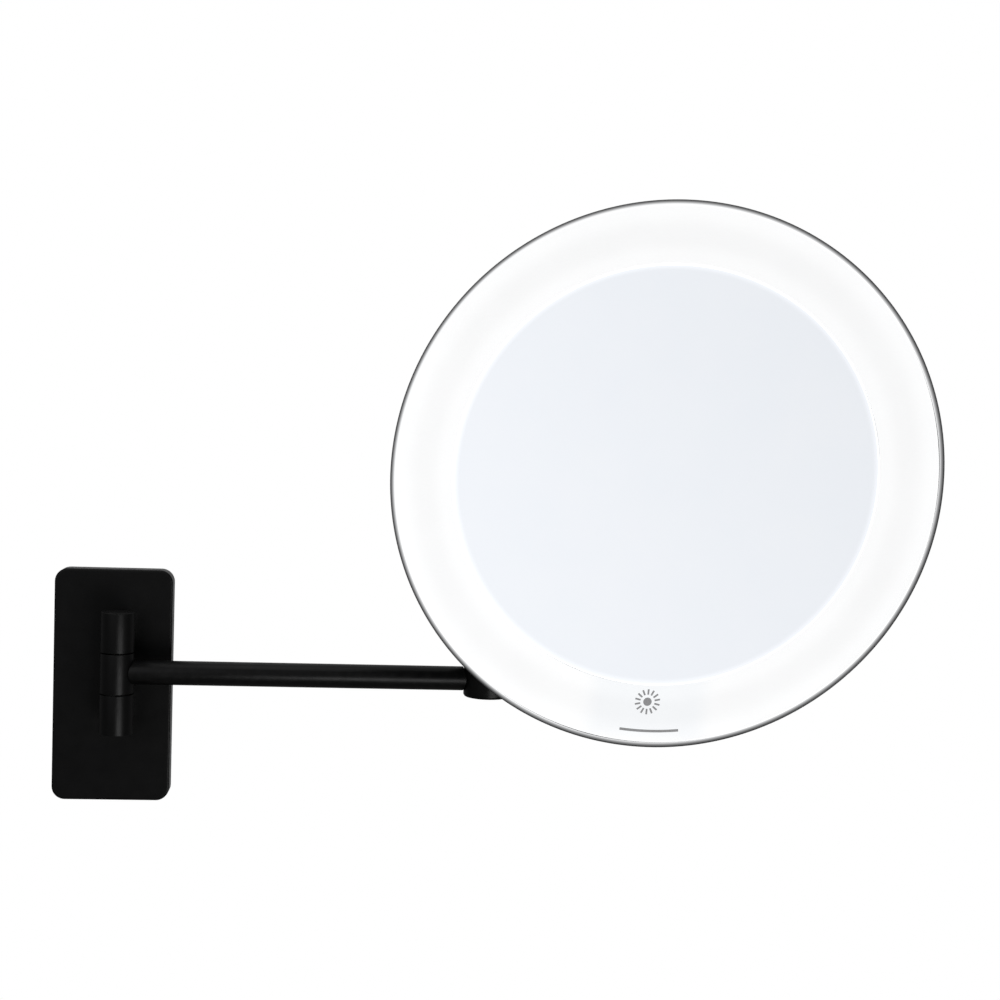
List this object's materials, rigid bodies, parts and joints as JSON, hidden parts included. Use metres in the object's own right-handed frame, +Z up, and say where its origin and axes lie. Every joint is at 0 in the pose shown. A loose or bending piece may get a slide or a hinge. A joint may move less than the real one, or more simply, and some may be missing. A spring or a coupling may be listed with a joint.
{
  "type": "extendable shaving mirror",
  "caption": "Round lit magnifying mirror on a jointed black arm with a rectangular wall plate; it swings, folds, turns and tilts.",
  "frame": {"origin": "centre of the wall plate's back face, on the wall", "axes": "+X right along the wall towards the stretched arm, +Y into the wall, +Z up"},
  "size_m": [0.3493, 0.158, 0.2605],
  "materials": {
    "black_coat": "satin black powder coat",
    "black_shell": "fine-textured black moulding",
    "steel": "bright zinc-plated steel",
    "nylon": "black nylon",
    "opal_ring": "frosted, lit from behind",
    "mirror_glass": "silvered, magnifying",
    "white_plastic": "white moulding",
    "led_board": "white circuit board",
    "touch_film": "translucent film",
    "circuit_board": "green solder resist",
    "dark_plastic": "plain moulding",
    "cell_jacket": "printed steel jacket",
    "contact_metal": "plated spring contact"
  },
  "bodies": {
    "wall": {"wall_plate": "black_coat", "wall_bracket": "steel", "wall_screw_upper": "steel", "wall_screw_lower": "steel", "grub_screw": "steel", "knuckle_lug_lower": "black_coat", "knuckle_lug_upper": "black_coat", "hinge_pin": "steel", "hinge_washer_lower": "nylon", "hinge_washer_upper": "nylon", "lug_screw_lower": "steel", "lug_screw_upper": "steel"},
    "arm": {"knuckle_sleeve": "black_coat", "arm_tube": "black_coat", "elbow_hub_lower": "black_coat", "elbow_bolt": "steel", "elbow_nut": "steel", "elbow_washer": "nylon", "elbow_cap_lower": "black_coat"},
    "neck": {"elbow_hub_upper": "black_coat", "elbow_cap_upper": "black_coat", "neck_tube": "black_coat", "swivel_pin": "steel", "swivel_washer": "nylon"},
    "swivel": {"swivel_knuckle": "black_coat", "swivel_set_screw": "steel"},
    "head": {"tilt_bracket": "black_coat", "tilt_pin": "steel", "tilt_washer_left": "nylon", "tilt_washer_right": "nylon", "bracket_screw_1": "steel", "bracket_screw_2": "steel", "bracket_screw_3": "steel", "rear_shell": "black_shell", "shell_screw_1": "steel", "shell_screw_2": "steel", "shell_screw_3": "steel", "front_rim": "black_coat", "light_ring": "opal_ring", "mirror_glass": "mirror_glass", "mirror_carrier": "white_plastic", "led_board": "led_board", "touch_film": "touch_film", "control_board": "circuit_board", "battery_tray": "dark_plastic", "battery_1": "cell_jacket", "battery_2": "cell_jacket", "battery_3": "cell_jacket", "contact_left": "contact_metal", "contact_right": "contact_metal"},
    "door": {"battery_door": "black_shell"}
  },
  "joints": [
    {"name": "wall_swing", "type": "hinge", "parent": "wall", "child": "arm", "pos_m": [0.0045, -0.026, 0.0087], "axis": [0, 0, 1], "range_deg": [-180, 0]},
    {"name": "elbow_fold", "type": "hinge", "parent": "arm", "child": "neck", "pos_m": [0.1605, -0.026, 0.0087], "axis": [0, 0, 1], "range_deg": [-80, 130]},
    {"name": "head_turn", "type": "hinge", "parent": "neck", "child": "swivel", "pos_m": [0.2405, -0.026, 0.0934], "axis": [0, 0, 1], "range_deg": [-10, 90]},
    {"name": "head_tilt", "type": "hinge", "parent": "swivel", "child": "head", "pos_m": [0.23463, -0.04195, 0.0934], "axis": [0.9385, -0.3453, 0], "range_deg": [-28, 14]},
    {"name": "battery_door_off", "type": "slide", "parent": "head", "child": "door", "axis": [0.3356, 0.9122, -0.2351], "range_m": [0, 0.012]}
  ]
}
